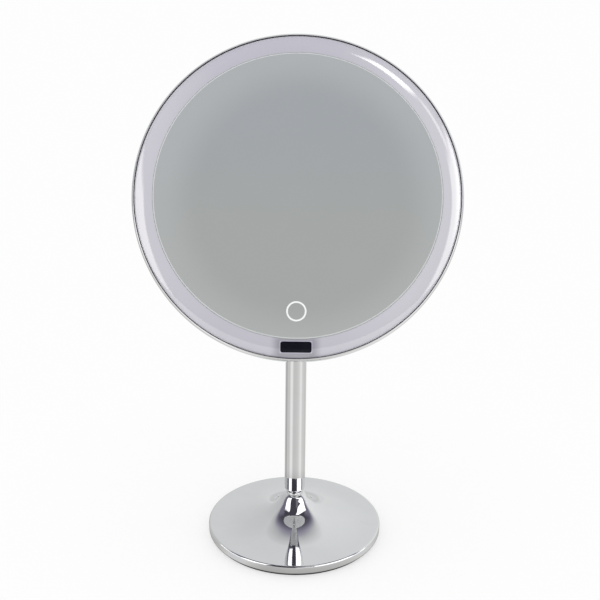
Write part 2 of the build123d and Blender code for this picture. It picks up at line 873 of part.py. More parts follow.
seat_z = dome(dome_top_deg)[1]
hex_r = 5.7                   # corner radius of bolt head and nut
spring_washer_z, spring_washer_t = plug_top_z + 0.1, 1.4
bolt_head_z, bolt_head_t = 3.6, 4.3
bolt_top_z = 66.0
hub_floor_z = 8.0             # roof of the pocket round the bolt head

# Tapered distance washer with a narrower neck in the gap under the tube
with BuildPart() as swivel_washer:
    bore_r = bolt_r + 0.05
    neck_r = 4.7
    washer_side = (6.15, seat_z + 1.45)
    washer_top = (5.7, seat_z + 1.8)
    with BuildSketch(Plane.XZ):
        with BuildLine():
            Polyline((bore_r, seat_z), (6.5, seat_z), washer_side)
            ThreePointArc(washer_side, (5.99, seat_z + 1.7), washer_top)
            Polyline(
                washer_top,
                (neck_r, washer_top[1]),
                (neck_r, stem_bottom_z - 0.1),
                (bore_r, stem_bottom_z - 0.1),
                (bore_r, seat_z),
            )
        make_face()
    revolve(axis=Axis.Z)
save(swivel_washer, "swivel_washer")

with BuildPart() as spring_washer:
    with BuildSketch(Plane.XY.offset(spring_washer_z)):
        ring(5.6, bolt_r + 0.05)
    extrude(amount=spring_washer_t)
save(spring_washer, "spring_washer")

with BuildPart() as swivel_nut:
    with BuildSketch(Plane.XY.offset(spring_washer_z + spring_washer_t)):
        RegularPolygon(hex_r, 6)
        Circle(bolt_r, mode=Mode.SUBTRACT)
    extrude(amount=5.5)
save(swivel_nut, "swivel_nut")

with BuildPart() as swivel_bolt:
    shank_z = bolt_head_z + bolt_head_t
    with BuildSketch(Plane.XY.offset(bolt_head_z)):
        RegularPolygon(hex_r, 6)
    extrude(amount=bolt_head_t)
    with BuildSketch(Plane.XY.offset(shank_z)):
        Circle(bolt_r)
    extrude(amount=bolt_top_z - shank_z)
save(swivel_bolt, "swivel_bolt")

# Top of the base from the shoulder outward: radius, height
flare = [
    dome(dome_end_deg),
    (11.3, 29.4), (14.3, 26.0), (17.0, 23.35), (20.3, 20.9), (25.0, 18.3), (30.0, 16.15),
    (36.0, 13.95), (44.0, 11.65), (52.0, 10.25), (60.0, 9.65), (66.4, 9.4),
]
# Roof of the hollow underneath: radius, height
cavity = [
    (13.0, 22.5), (17.0, 19.6), (20.3, 17.8), (25.0, 15.7), (30.0, 13.7),
    (36.0, 11.6), (44.0, 9.4), (52.0, 8.05), (60.0, 7.5), (64.6, 7.3),
]
hub_outer_r, hub_pocket_r = 10.0, 7.0

# Trumpet base: a flat seat under the washer, a rounded shoulder, a steep neck,
# then a flare into a nearly flat disc with a soft edge.
with BuildPart() as base_shell:
    hole_r = bolt_r + 0.1
    flare_slope = math.radians(dome_end_deg)
    edge_top, edge_bottom = (base_r, 7.8), (67.9, 4.0)
    underside = (65.5, pad_t)
    with BuildSketch(Plane.XZ):
        with BuildLine():
            Polyline((hole_r, hub_floor_z), (hole_r, seat_z), dome(dome_top_deg))
            ThreePointArc(dome(dome_top_deg), dome(40), dome(dome_end_deg))
            Spline(
                *flare,
                tangents=((math.cos(flare_slope), -math.sin(flare_slope)), (1, -0.035)),
            )
            ThreePointArc(flare[-1], (67.53, 8.93), edge_top)
            Line(edge_top, edge_bottom)
            ThreePointArc(edge_bottom, (67.2, 2.25), underside)
            Polyline(underside, (cavity[-1][0], pad_t), cavity[-1])
            Spline(*reversed(cavity))
            Polyline(
                cavity[0],
                (hub_outer_r, cavity[0][1]),
                (hub_outer_r, pad_t),
                (hub_pocket_r, pad_t),
                (hub_pocket_r, hub_floor_z),
                (hole_r, hub_floor_z),
            )
        make_face()
    revolve(axis=Axis.Z)
save(base_shell, "base_shell")

with BuildPart() as base_weight:
    with BuildSketch(Plane.XY.offset(pad_t)):
        ring(64.4, 10.3)
    extrude(amount=5.7)
    top_edges = base_weight.faces().sort_by(Axis.Z)[-1].edges()
    chamfer(top_edges.sort_by(SortBy.RADIUS)[-1], 0.8)
save(base_weight, "base_weight")

with BuildPart() as foot_pad:
    with BuildSketch(Plane.XY):
        Circle(foot_r)
    extrude(amount=pad_t)
    fillet(foot_pad.faces().sort_by(Axis.Z)[0].edges(), 0.35)
save(foot_pad, "foot_pad")
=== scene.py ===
"""A round make-up mirror with a milky light ring, on a slim stem and a trumpet base.

Metres, +Z up, floor at z = 0. The stand turns about the Z axis. The mirror faces -Y, tilted
back by 30 degrees; the camera looks towards +Y, so +X is on the right of the picture.
"""
import math

import bmesh
import bpy
import numpy as np
from mathutils import Matrix, Vector


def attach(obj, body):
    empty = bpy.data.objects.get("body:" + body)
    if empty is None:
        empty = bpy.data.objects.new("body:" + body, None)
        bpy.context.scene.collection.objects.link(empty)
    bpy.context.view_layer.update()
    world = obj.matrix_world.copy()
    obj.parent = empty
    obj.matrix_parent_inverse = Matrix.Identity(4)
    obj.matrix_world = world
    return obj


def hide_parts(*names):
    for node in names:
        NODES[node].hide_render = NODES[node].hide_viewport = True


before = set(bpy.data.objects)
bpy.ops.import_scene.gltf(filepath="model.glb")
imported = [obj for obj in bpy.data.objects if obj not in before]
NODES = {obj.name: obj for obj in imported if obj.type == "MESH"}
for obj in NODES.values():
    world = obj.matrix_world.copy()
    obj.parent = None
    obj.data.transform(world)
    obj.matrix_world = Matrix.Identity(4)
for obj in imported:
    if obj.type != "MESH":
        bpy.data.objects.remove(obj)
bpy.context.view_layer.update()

scene = bpy.context.scene
MM = 0.001
PER_M = 1000.0      # millimetres in a metre
DEG = 57.29578      # degrees in a radian

# ------------------------------------------------------------------ head frame
TILT = math.radians(30.0)
PIVOT_Z = 276.8 * MM
FACE_OFFSET = 36.0 * MM                                   # pivot to mirror face
OUTWARD = Vector((0.0, -math.cos(TILT), math.sin(TILT)))  # out of the mirror
UPWARD = Vector((0.0, math.sin(TILT), math.cos(TILT)))    # up the mirror
ACROSS = Vector((1.0, 0.0, 0.0))
FACE_CENTRE = Vector((0.0, OUTWARD.y * FACE_OFFSET, PIVOT_Z + OUTWARD.z * FACE_OFFSET))
WINDOW_DOWN = 107.9                                       # face centre to sensor window, mm
MARK_DOWN = 83.0                                          # face centre to touch mark, mm


def head_point(x, y, out):
    """Point given across, up and out of the mirror, in mm."""
    return FACE_CENTRE + ACROSS * (x * MM) + UPWARD * (y * MM) + OUTWARD * (out * MM)


# ------------------------------------------------------------------ shader helper
class Tree:
    """Short calls for building a shader tree; values may be numbers, tuples or sockets."""

    def __init__(self, node_tree):
        self.node_tree = node_tree
        node_tree.nodes.clear()

    def node(self, kind, **settings):
        node = self.node_tree.nodes.new(kind)
        for key, value in settings.items():
            setattr(node, key, value)
        return node

    def put(self, socket, value):
        if isinstance(value, bpy.types.NodeSocket):
            self.node_tree.links.new(value, socket)
        elif isinstance(value, tuple) and len(value) == 3 and len(socket.default_value) == 4:
            socket.default_value = (*value, 1.0)
        else:
            socket.default_value = value

    def fill(self, node, values):
        for key, value in values.items():
            self.put(node.inputs[key], value)

    def calc(self, operation, *values):
        node = self.node("ShaderNodeMath", operation=operation)
        for socket, value in zip(node.inputs, values):
            self.put(socket, value)
        return node.outputs[0]

    def add(self, *values):
        return self.calc("ADD", *values)

    def sub(self, *values):
        return self.calc("SUBTRACT", *values)

    def mul(self, *values):
        return self.calc("MULTIPLY", *values)

    def mul_add(self, *values):
        return self.calc("MULTIPLY_ADD", *values)

    def larger(self, *values):
        return self.calc("MAXIMUM", *values)

    def size(self, value):
        return self.calc("ABSOLUTE", value)

    def hypot(self, x, y):
        return self.calc("SQRT", self.add(self.mul(x, x), self.mul(y, y)))

    def vector(self, operation, *values, scale=None):
        node = self.node("ShaderNodeVectorMath", operation=operation)
        for socket, value in zip(node.inputs, values):
            self.put(socket, value)
        if scale is not None:
            self.put(node.inputs["Scale"], scale)
        return node.outputs["Value" if operation in ("DOT_PRODUCT", "LENGTH") else "Vector"]

    def dot(self, point, axis):
        return self.vector("DOT_PRODUCT", point, tuple(axis))

    def grey(self, level):
        return self.vector("SCALE", (1.0, 1.0, 1.0), scale=level)

    def split(self, vector):
        node = self.node("ShaderNodeSeparateXYZ")
        self.put(node.inputs[0], vector)
        return node.outputs

    def azimuth(self, x, y):
        """Degrees from the front (-Y), positive towards +X."""
        return self.mul(self.calc("ARCTAN2", x, self.mul(y, -1.0)), DEG)

    def elevation(self, z):
        return self.mul(self.calc("ARCSINE", z), DEG)

    def step(self, value, over, to=(0.0, 1.0)):
        """Smooth change between the two `to` levels while the value crosses `over`."""
        node = self.node("ShaderNodeMapRange", interpolation_type="SMOOTHSTEP", clamp=True)
        keys = ("Value", "From Min", "From Max", "To Min", "To Max")
        self.fill(node, dict(zip(keys, (value, *over, *to))))
        return node.outputs["Result"]

    def band(self, value, span, soft):
        """1 inside the span, 0 outside, over a soft edge."""
        start, end = span
        rise = self.step(value, over=(start - soft, start + soft))
        return self.mul(rise, self.step(value, over=(end - soft, end + soft), to=(1.0, 0.0)))

    def mix(self, factor, first, second, blend="MIX"):
        node = self.node("ShaderNodeMix", data_type="RGBA", blend_type=blend)
        self.fill(node, {0: factor, 6: first, 7: second})
        return node.outputs[2]

    def tint(self, colour, level):
        return self.mix(1.0, colour, self.grey(level), blend="MULTIPLY")

    def noise(self, point, scale, detail=3.0, rough=0.5, warp=0.0):
        node = self.node("ShaderNodeTexNoise")
        self.fill(node, {
            "Vector": point, "Scale": scale, "Detail": detail, "Roughness": rough,
            "Distortion": warp,
        })
        return node.outputs["Fac"]

    def ramp(self, value, stops, kind="LINEAR"):
        node = self.node("ShaderNodeValToRGB")
        node.color_ramp.interpolation = kind
        elements = node.color_ramp.elements
        while len(elements) > 1:
            elements.remove(elements[-1])
        elements[0].position, elements[0].color = stops[0][0], (*stops[0][1], 1.0)
        for position, colour in stops[1:]:
            elements.new(position).color = (*colour, 1.0)
        self.put(node.inputs["Fac"], value)
        return node.outputs["Color"]

    def bump(self, height, strength, distance):
        node = self.node("ShaderNodeBump")
        self.fill(node, {"Strength": strength, "Distance": distance, "Height": height})
        return node.outputs[0]

    def emission(self, colour):
        node = self.node("ShaderNodeEmission")
        self.put(node.inputs["Color"], colour)
        return node.outputs[0]

    def mix_shader(self, factor, first, second):
        node = self.node("ShaderNodeMixShader")
        self.fill(node, {0: factor, 1: first, 2: second})
        return node.outputs[0]


# ------------------------------------------------------------------ materials
MIDDLE = (0.3, 0.7)     # the part of the noise range that most of its values fall in


def new_material(name):
    mat = bpy.data.materials.new(name)
    mat.use_nodes = True
    tree = Tree(mat.node_tree)
    return mat, tree, tree.node("ShaderNodeOutputMaterial")


def principled(name):
    mat, tree, output = new_material(name)
    bsdf = tree.node("ShaderNodeBsdfPrincipled")
    tree.put(output.inputs["Surface"], bsdf.outputs[0])
    return mat, tree, bsdf, tree.node("ShaderNodeTexCoord").outputs["Object"]


def finish(name, dark, light, rough, metallic=0.0, coat=0.0, coat_rough=0.05, tone_scale=60.0,
           grain=0.0, grain_scale=900.0, grain_depth=2e-5, specular=0.5):
    """A moulded or metal surface: cloudy tone, uneven gloss and a fine grain."""
    mat, tree, bsdf, point = principled(name)
    cloud = tree.noise(point, scale=tone_scale, detail=4.0, rough=0.55)
    smear = tree.noise(point, scale=tone_scale * 2.3, detail=5.0, rough=0.65, warp=0.4)
    tree.fill(bsdf, {
        "Base Color": tree.mix(tree.step(cloud, over=(0.32, 0.68)), dark, light),
        "Roughness": tree.step(smear, over=MIDDLE, to=rough),
        "Metallic": metallic,
        "IOR": 1.5,
        "Specular IOR Level": specular,
        "Coat Weight": coat,
        "Coat Roughness": coat_rough,
    })
    if grain:
        fine = tree.noise(point, scale=grain_scale, detail=2.0, rough=0.6)
        tree.put(bsdf.inputs["Normal"], tree.bump(fine, strength=grain, distance=grain_depth))
    return mat


def chrome(name, tone, rough):
    mat, tree, bsdf, point = principled(name)
    cloud = tree.noise(point, scale=34.0, detail=4.0, rough=0.6, warp=0.5)
    smear = tree.noise(point, scale=150.0, detail=5.0, rough=0.7, warp=1.2)
    ripple = tree.noise(point, scale=420.0, detail=3.0, rough=0.6)
    dark = tuple(channel * 0.965 for channel in tone)
    tree.fill(bsdf, {
        "Base Color": tree.mix(tree.step(cloud, over=MIDDLE), dark, tone),
        "Metallic": 1.0,
        "Roughness": tree.step(smear, over=(0.35, 0.75), to=rough),
        "Normal": tree.bump(ripple, strength=0.25, distance=2.0e-6),
    })
    return mat


def from_centre(tree, point):
    return tree.vector("SUBTRACT", point, tuple(FACE_CENTRE))


def silvered_glass():
    """Silver behind clear glass; the ground edge of the glass is lighter, not mirroring."""
    mat, tree, bsdf, point = principled("silvered_glass")
    offset = from_centre(tree, point)
    along = tree.dot(offset, OUTWARD)
    flat = tree.vector(
        "SUBTRACT", offset, tree.vector("SCALE", tuple(OUTWARD), scale=along))
    radius = tree.mul(tree.vector("LENGTH", flat), PER_M)
    front = tree.step(tree.mul(along, PER_M), over=(-0.12, -0.02))
    silver = tree.mul(front, tree.step(radius, over=(101.45, 101.6), to=(1.0, 0.0)))
    haze = tree.noise(point, scale=22.0, detail=4.0, rough=0.6)
    face = tree.mix(tree.step(haze, over=MIDDLE), (0.905, 0.925, 0.918), (0.92, 0.935, 0.93))
    edge = tree.mix(
        tree.noise(point, scale=240.0, detail=2.0), (0.60, 0.63, 0.62), (0.68, 0.71, 0.70))
    smear = tree.noise(point, scale=60.0, detail=4.0, rough=0.6, warp=0.8)
    tree.fill(bsdf, {
        "Base Color": tree.mix(silver, edge, face),
        "Metallic": silver,
        "Roughness": tree.add(
            tree.step(smear, over=(0.4, 0.8), to=(0.0, 0.012)),
            tree.step(silver, over=(0.0, 1.0), to=(0.18, 0.0))),
    })
    return mat


def milky_lens():
    """Milky acrylic under a clear skin; painted shade round the sensor window, painted light at
    the sides and bottom, a painted highlight round the opening.
    """
    sensor_down = 108.6                     # middle of the shaded patch, mm
    rim_half_width, rim_half_height = 10.7, 3.58
    mat, tree, bsdf, point = principled("milky_acrylic")
    offset = from_centre(tree, point)
    x = tree.mul(tree.dot(offset, ACROSS), PER_M)
    y = tree.mul(tree.dot(offset, UPWARD), PER_M)
    cloud = tree.noise(point, scale=26.0, detail=4.0, rough=0.55)
    tone = tree.mix(
        tree.step(cloud, over=MIDDLE), (0.552, 0.541, 0.614), (0.574, 0.563, 0.632))
    # painted light: a little lighter at the sides and the bottom
    pale = tree.add(
        tree.step(x, over=(5.0, 105.0), to=(0.14, 1.0)),
        tree.step(x, over=(-50.0, -108.0), to=(0.0, 0.62)))
    pale = tree.add(pale, tree.step(y, over=(-10.0, -95.0), to=(0.0, 0.18)))
    tone = tree.mix(pale, tone, (0.68, 0.67, 0.725))
    # painted shade: darker where the sensor sits behind the milky plastic
    side = tree.size(x)
    shade = tree.mul(
        tree.step(side, over=(19.0, 11.0)),
        tree.step(tree.size(tree.add(y, sensor_down)), over=(10.5, 4.0)))
    tone = tree.mix(tree.mul(shade, 0.55), tone, (0.16, 0.155, 0.185))
    # painted highlight on the bright rim of the window opening
    rise = tree.size(tree.add(y, WINDOW_DOWN))
    rim = tree.hypot(
        tree.larger(tree.sub(side, rim_half_width), 0.0),
        tree.larger(tree.sub(rise, rim_half_height), 0.0))
    tone = tree.mix(tree.step(rim, over=(0.95, 0.45), to=(0.0, 0.75)), tone, (0.62, 0.60, 0.72))
    smear = tree.noise(point, scale=90.0, detail=5.0, rough=0.65, warp=0.4)
    facing = tree.node("ShaderNodeLayerWeight").outputs["Facing"]
    ripple = tree.noise(point, scale=260.0, detail=3.0, rough=0.55)
    tree.fill(bsdf, {
        "Base Color": tone,
        "Roughness": tree.step(smear, over=MIDDLE, to=(0.38, 0.46)),
        "Specular IOR Level": 0.0,
        # the clear skin turns satin at grazing angles
        "Coat Weight": tree.step(facing, over=(0.45, 0.85), to=(1.0, 0.15)),
        "Coat IOR": 2.0,
        "Coat Roughness": tree.step(smear, over=MIDDLE, to=(0.03, 0.06)),
        "Coat Normal": tree.bump(ripple, strength=0.2, distance=4.0e-6),
    })
    return mat


def touch_mark():
    """White ring mark whose two edges feather into painted grey, a painted reflection matching
    the silvering.
    """
    mat, tree, bsdf, point = principled("white_mark")
    offset = from_centre(tree, point)
    x = tree.mul(tree.dot(offset, ACROSS), PER_M)
    y = tree.mul_add(tree.dot(offset, UPWARD), PER_M, MARK_DOWN)
    radius = tree.hypot(x, y)
    body = tree.mul(
        tree.step(radius, over=(5.78, 6.04)),
        tree.step(radius, over=(6.96, 7.22), to=(1.0, 0.0)))
    white = tree.mix(
        tree.noise(point, scale=300.0, detail=4.0, rough=0.55),
        (0.93, 0.95, 0.95), (0.99, 1.0, 1.0))
    smear = tree.noise(point, scale=700.0, detail=4.0, rough=0.6)
    grain = tree.noise(point, scale=2400.0, detail=2.0, rough=0.6)
    tree.fill(bsdf, {
        # painted reflection: grey outside the ring, as the silvering looks
        "Base Color": tree.mix(body, (0.385, 0.395, 0.395), white),
        "Roughness": tree.step(smear, over=MIDDLE, to=(0.42, 0.55)),
        "Normal": tree.bump(grain, strength=0.3, distance=2e-5),
    })
    return mat


def circuit_board(name, base, track):
    """Solder mask with lighter copper runs showing through."""
    mat, tree, bsdf, point = principled(name)
    cells = tree.node(
        "ShaderNodeTexVoronoi", feature="DISTANCE_TO_EDGE", distance="CHEBYCHEV")
    tree.fill(cells, {"Vector": point, "Scale": 330.0, "Randomness": 0.55})
    line = tree.step(cells.outputs["Distance"], over=(0.10, 0.04))
    dark = tuple(channel * 0.9 for channel in base)
    tone = tree.mix(tree.noise(point, scale=120.0), dark, base)
    smear = tree.noise(point, scale=200.0, rough=0.6)
    tree.fill(bsdf, {
        "Base Color": tree.mix(tree.mul(line, 0.6), tone, track),
        "Roughness": tree.step(smear, over=MIDDLE, to=(0.32, 0.44)),
        "Normal": tree.bump(line, strength=0.4, distance=3.0e-5),
    })
    return mat


def wire_cover(name, below, above, axis, split):
    """PVC insulation: one conductor of each pair on either side of a split along the axis."""
    mat, tree, bsdf, point = principled(name)
    side = tree.step(tree.dot(point, axis), over=(split - 1e-5, split + 1e-5))
    dust = tree.mul(tree.noise(point, scale=500.0, detail=2.0), 0.25)
    smear = tree.noise(point, scale=700.0, detail=2.0)
    tree.fill(bsdf, {
        "Base Color": tree.mix(dust, tree.mix(side, below, above), (0.35, 0.34, 0.33)),
        "Roughness": tree.step(smear, over=MIDDLE, to=(0.35, 0.5)),
    })
    return mat


CHROME = chrome("chrome_plate", tone=(0.76, 0.765, 0.775), rough=(0.022, 0.055))
CHROME_RIM = chrome("chrome_rim", tone=(0.80, 0.805, 0.81), rough=(0.03, 0.06))
PLATED = finish(
    "plated_steel", dark=(0.60, 0.61, 0.62), light=(0.70, 0.71, 0.72), rough=(0.12, 0.2),
    metallic=1.0, grain=0.25, grain_scale=1500, tone_scale=160)
STEEL = finish(
    "turned_steel", dark=(0.44, 0.45, 0.46), light=(0.54, 0.55, 0.56), rough=(0.26, 0.38),
    metallic=1.0, grain=0.4, grain_scale=1800, tone_scale=120)
SATIN = finish(
    "satin_cover", dark=(0.60, 0.605, 0.61), light=(0.66, 0.665, 0.67), rough=(0.27, 0.33),
    metallic=0.92, coat=0.25, coat_rough=0.22, grain=0.35, grain_scale=2600,
    grain_depth=1.2e-5, tone_scale=16)
RUBBER = finish(
    "black_rubber", dark=(0.012, 0.012, 0.013), light=(0.028, 0.028, 0.029),
    rough=(0.62, 0.78), grain=0.5, grain_scale=1700, grain_depth=4e-5, tone_scale=90)
WHITE = finish(
    "white_abs", dark=(0.74, 0.74, 0.72), light=(0.80, 0.80, 0.78), rough=(0.38, 0.5),
    grain=0.35, grain_scale=1400, tone_scale=30)
BLACK = finish(
    "black_abs", dark=(0.016, 0.016, 0.018), light=(0.03, 0.03, 0.033), rough=(0.4, 0.52),
    grain=0.4, grain_scale=1600)
WINDOW = finish(
    "smoked_window", dark=(0.0070, 0.0070, 0.0125), light=(0.0095, 0.0095, 0.016),
    rough=(0.1, 0.16), coat=0.12, coat_rough=0.03, tone_scale=70, grain=0.1,
    grain_scale=500, specular=0.06)
MARK = touch_mark()
CHIP = finish(
    "chip_black", dark=(0.02, 0.02, 0.022), light=(0.045, 0.045, 0.048), rough=(0.45, 0.6),
    grain=0.5, grain_scale=2200, tone_scale=220)
LED = finish(
    "led_package", dark=(0.82, 0.74, 0.34), light=(0.93, 0.88, 0.60), rough=(0.25, 0.4),
    tone_scale=420, grain=0.2, grain_scale=1800)
EPOXY = finish(
    "clear_epoxy", dark=(0.60, 0.60, 0.70), light=(0.74, 0.74, 0.84), rough=(0.05, 0.12),
    coat=1.0, tone_scale=300)
PIPE = finish(
    "light_pipe", dark=(0.72, 0.76, 0.76), light=(0.84, 0.87, 0.87), rough=(0.18, 0.3),
    coat=0.6, tone_scale=500, grain=0.2, grain_scale=2600)
IRON = finish(
    "cast_weight", dark=(0.09, 0.09, 0.095), light=(0.2, 0.2, 0.205), rough=(0.45, 0.65),
    metallic=0.7, grain=0.8, grain_scale=700, grain_depth=1.2e-4, tone_scale=70)
COPPER = finish(
    "copper_foil", dark=(0.66, 0.33, 0.2), light=(0.84, 0.48, 0.32), rough=(0.22, 0.4),
    metallic=1.0, grain=0.4, tone_scale=150)
FOAM = finish(
    "foam_tape", dark=(0.03, 0.03, 0.032), light=(0.085, 0.085, 0.087), rough=(0.8, 0.92),
    grain=0.9, grain_scale=2600, grain_depth=1.2e-4, tone_scale=400)
POUCH = finish(
    "cell_wrap", dark=(0.30, 0.32, 0.35), light=(0.46, 0.48, 0.51), rough=(0.2, 0.36),
    metallic=0.75, grain=0.5, grain_scale=260, grain_depth=1.5e-4, tone_scale=45)
NYLON = finish(
    "friction_nylon", dark=(0.70, 0.69, 0.62), light=(0.82, 0.81, 0.75), rough=(0.4, 0.52),
    grain=0.3, grain_scale=1500, tone_scale=180)
GLASS = silvered_glass()
LENS = milky_lens()
BOARD_WHITE = circuit_board("board_white", base=(0.78, 0.79, 0.77), track=(0.66, 0.67, 0.62))
BOARD_GREEN = circuit_board("board_green", base=(0.025, 0.16, 0.075), track=(0.05, 0.27, 0.12))
WIRE_BATTERY = wire_cover(
    "battery_wire_pvc", below=(0.02, 0.02, 0.02), above=(0.45, 0.02, 0.02),
    axis=ACROSS, split=0.03)
WIRE_LED = wire_cover(
    "led_wire_pvc", below=(0.02, 0.02, 0.02), above=(0.42, 0.03, 0.02),
    axis=UPWARD, split=FACE_CENTRE.dot(UPWARD) - 0.0294)
WIRE_SIGNAL = finish(
    "sensor_wire_pvc", dark=(0.5, 0.5, 0.5), light=(0.72, 0.72, 0.7), rough=(0.35, 0.5),
    tone_scale=300)

# material, and the pieces that wear it
USES = [
    (GLASS, "mirror_glass"),
    (MARK, "touch_ring_mark"),
    (COPPER, "touch_pad"),
    (FOAM, "mirror_foam_tape battery_foam_pad"),
    (LENS, "light_ring_lens"),
    (WINDOW, "sensor_window"),
    (CHROME_RIM, "rim_band"),
    (RUBBER, "rim_gasket foot_pad"),
    (WHITE, "chassis_tray"),
    (BOARD_WHITE, "led_ring_board"),
    (BOARD_GREEN, "sensor_board control_board"),
    (LED, "led_chips"),
    (EPOXY, "ir_emitter"),
    (CHIP, "ir_receiver control_chips"),
    (BLACK, "sensor_shroud usb_port_tongue power_switch_body power_switch_slider"
            " battery_strap stem_bottom_plug"),
    (PLATED, "board_screws usb_port_shell rear_cover_screws hinge_bracket_screws"
             " hinge_screw hinge_nut swivel_washer"),
    (PIPE, "charge_light_pipe"),
    (POUCH, "battery_cell"),
    (WIRE_BATTERY, "battery_wires"),
    (WIRE_LED, "led_wires"),
    (WIRE_SIGNAL, "sensor_wires touch_wire"),
    (SATIN, "rear_cover"),
    (CHROME, "hinge_bracket neck_knuckle stem_tube base_shell"),
    (NYLON, "friction_washers"),
    (STEEL, "spring_washer swivel_nut swivel_bolt"),
    (IRON, "base_weight"),
]
material_of = {piece: mat for mat, pieces in USES for piece in pieces.split()}
for name, piece in NODES.items():
    piece.data.materials.clear()
    piece.data.materials.append(material_of[name])


# ------------------------------------------------------------------ profile curves
def arc3(start, middle, end, steps):
    """Points of the arc through three points, both ends included."""
    (ax, ay), (bx, by), (cx, cy) = start, middle, end
    a_sq, b_sq, c_sq = ax**2 + ay**2, bx**2 + by**2, cx**2 + cy**2
    double = 2 * (ax * (by - cy) + bx * (cy - ay) + cx * (ay - by))
    x = (a_sq * (by - cy) + b_sq * (cy - ay) + c_sq * (ay - by)) / double
    y = (a_sq * (cx - bx) + b_sq * (ax - cx) + c_sq * (bx - ax)) / double
    radius = math.hypot(ax - x, ay - y)
    first, mid, last = (math.atan2(p[1] - y, p[0] - x) for p in (start, middle, end))
    sweep = (last - first) % (2 * math.pi)
    if not (mid - first) % (2 * math.pi) <= sweep:
        sweep -= 2 * math.pi
    angles = [first + sweep * k / steps for k in range(steps + 1)]
    return [(x + radius * math.cos(angle), y + radius * math.sin(angle)) for angle in angles]


def spline(knots, start_dir=None, end_dir=None, per=10):
    """Smooth curve through the knots with continuous curvature and given end directions."""
    knot = np.array(knots, float)
    gap = np.linalg.norm(np.diff(knot, axis=0), axis=1)
    count = len(knot)
    matrix = np.zeros((count, count))
    rhs = np.zeros((count, 2))
    if start_dir is None:
        matrix[0, 0], matrix[0, 1] = 2, 1
        rhs[0] = 3 * (knot[1] - knot[0]) / gap[0]
    else:
        matrix[0, 0] = 1
        rhs[0] = np.array(start_dir) / np.linalg.norm(start_dir)
    if end_dir is None:
        matrix[-1, -1], matrix[-1, -2] = 2, 1
        rhs[-1] = 3 * (knot[-1] - knot[-2]) / gap[-1]
    else:
        matrix[-1, -1] = 1
        rhs[-1] = np.array(end_dir) / np.linalg.norm(end_dir)
    for i in range(1, count - 1):
        before, after = gap[i - 1], gap[i]
        matrix[i, i - 1], matrix[i, i], matrix[i, i + 1] = after, 2 * (before + after), before
        rhs[i] = 3 * (
            after * (knot[i] - knot[i - 1]) / before + before * (knot[i + 1] - knot[i]) / after)
    slope = np.linalg.solve(matrix, rhs)
    points = [tuple(knot[0])]
    for i in range(count - 1):
        for k in range(1, per + 1):
            s = k / per
            points.append(tuple(
                (2 * s**3 - 3 * s**2 + 1) * knot[i]
                + (s**3 - 2 * s**2 + s) * gap[i] * slope[i]
                + (3 * s**2 - 2 * s**3) * knot[i + 1]
                + (s**3 - s**2) * gap[i] * slope[i + 1]))
    return points


def joined(*runs):
    """One closed list of profile points with repeated points dropped."""
    points = []
    for run in runs:
        for point in run:
            if not points or math.dist(point, points[-1]) > 1e-6:
                points.append(point)
    if math.dist(points[0], points[-1]) < 1e-6:
        points.pop()
    return points


# ------------------------------------------------------------------ mesh helpers
SHARP = math.radians(28.0)      # edges bent more than this are shaded sharp


def add_object(name, data):
    ob = bpy.data.objects.new(name, data)
    scene.collection.objects.link(ob)
    return ob


def mesh_object(name, bm):
    mesh = bpy.data.meshes.new(name)
    bm.to_mesh(mesh)
    bm.free()
    return add_object(name, mesh)


def shade_by_angle(bm):
    for face in bm.faces:
        face.smooth = True
    for edge in bm.edges:
        edge.smooth = not (len(edge.link_faces) == 2 and edge.calc_face_angle(0.0) > SHARP)


def turned(name, profile, mat, segs, head=False):
    """A closed (radius, height) profile in mm, turned about the stand's or mirror's axis."""
    origin, axis = (FACE_CENTRE, OUTWARD) if head else (Vector(), Vector((0, 0, 1)))
    second = axis.cross(ACROSS)
    bm = bmesh.new()
    rows = []
    for radius, height in profile:
        centre = origin + axis * (height * MM)
        if radius < 1e-6:
            rows.append([bm.verts.new(centre)])
            continue
        angles = [2 * math.pi * k / segs for k in range(segs)]
        rows.append([
            bm.verts.new(
                centre + ACROSS * (radius * MM * math.cos(angle))
                + second * (radius * MM * math.sin(angle)))
            for angle in angles
        ])
    for i, row in enumerate(rows):
        following = rows[(i + 1) % len(rows)]
        if len(row) == 1 and len(following) == 1:
            continue
        for k in range(segs):
            j = (k + 1) % segs
            if len(row) == 1:
                bm.faces.new((row[0], following[k], following[j]))
            elif len(following) == 1:
                bm.faces.new((row[k], following[0], row[j]))
            else:
                bm.faces.new((row[k], following[k], following[j], row[j]))
    bmesh.ops.recalc_face_normals(bm, faces=bm.faces)
    shade_by_angle(bm)
    ob = mesh_object(name, bm)
    ob.data.materials.append(mat)
    return ob


def stand_in(ob, node, body):
    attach(ob, body)
    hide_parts(node)
    return ob


def cut(ob, tool):
    """Cuts the closed tool out of a closed piece and tidies the shading."""
    mod = ob.modifiers.new("cut", "BOOLEAN")
    mod.operation, mod.solver, mod.object = "DIFFERENCE", "EXACT", tool
    depsgraph = bpy.context.evaluated_depsgraph_get()
    mesh = bpy.data.meshes.new_from_object(ob.evaluated_get(depsgraph))
    ob.modifiers.clear()
    old, ob.data = ob.data, mesh
    bpy.data.meshes.remove(old)
    bpy.data.objects.remove(tool)
    bm = bmesh.new()
    bm.from_mesh(mesh)
    bmesh.ops.dissolve_degenerate(bm, dist=1e-7, edges=bm.edges)
    shade_by_angle(bm)
    bm.to_mesh(mesh)
    bm.free()


def rounded_box(width, height, radius, steps=8):
    """Corner points of a rounded rectangle about its own middle."""
    points = []
    for sx, sy, start in ((1, 1, 0), (-1, 1, 90), (-1, -1, 180), (1, -1, 270)):
        for k in range(steps + 1):
            angle = math.radians(start + 90 * k / steps)
            points.append((
                sx * (width / 2 - radius) + radius * math.cos(angle),
                sy * (height / 2 - radius) + radius * math.sin(angle)))
    return points


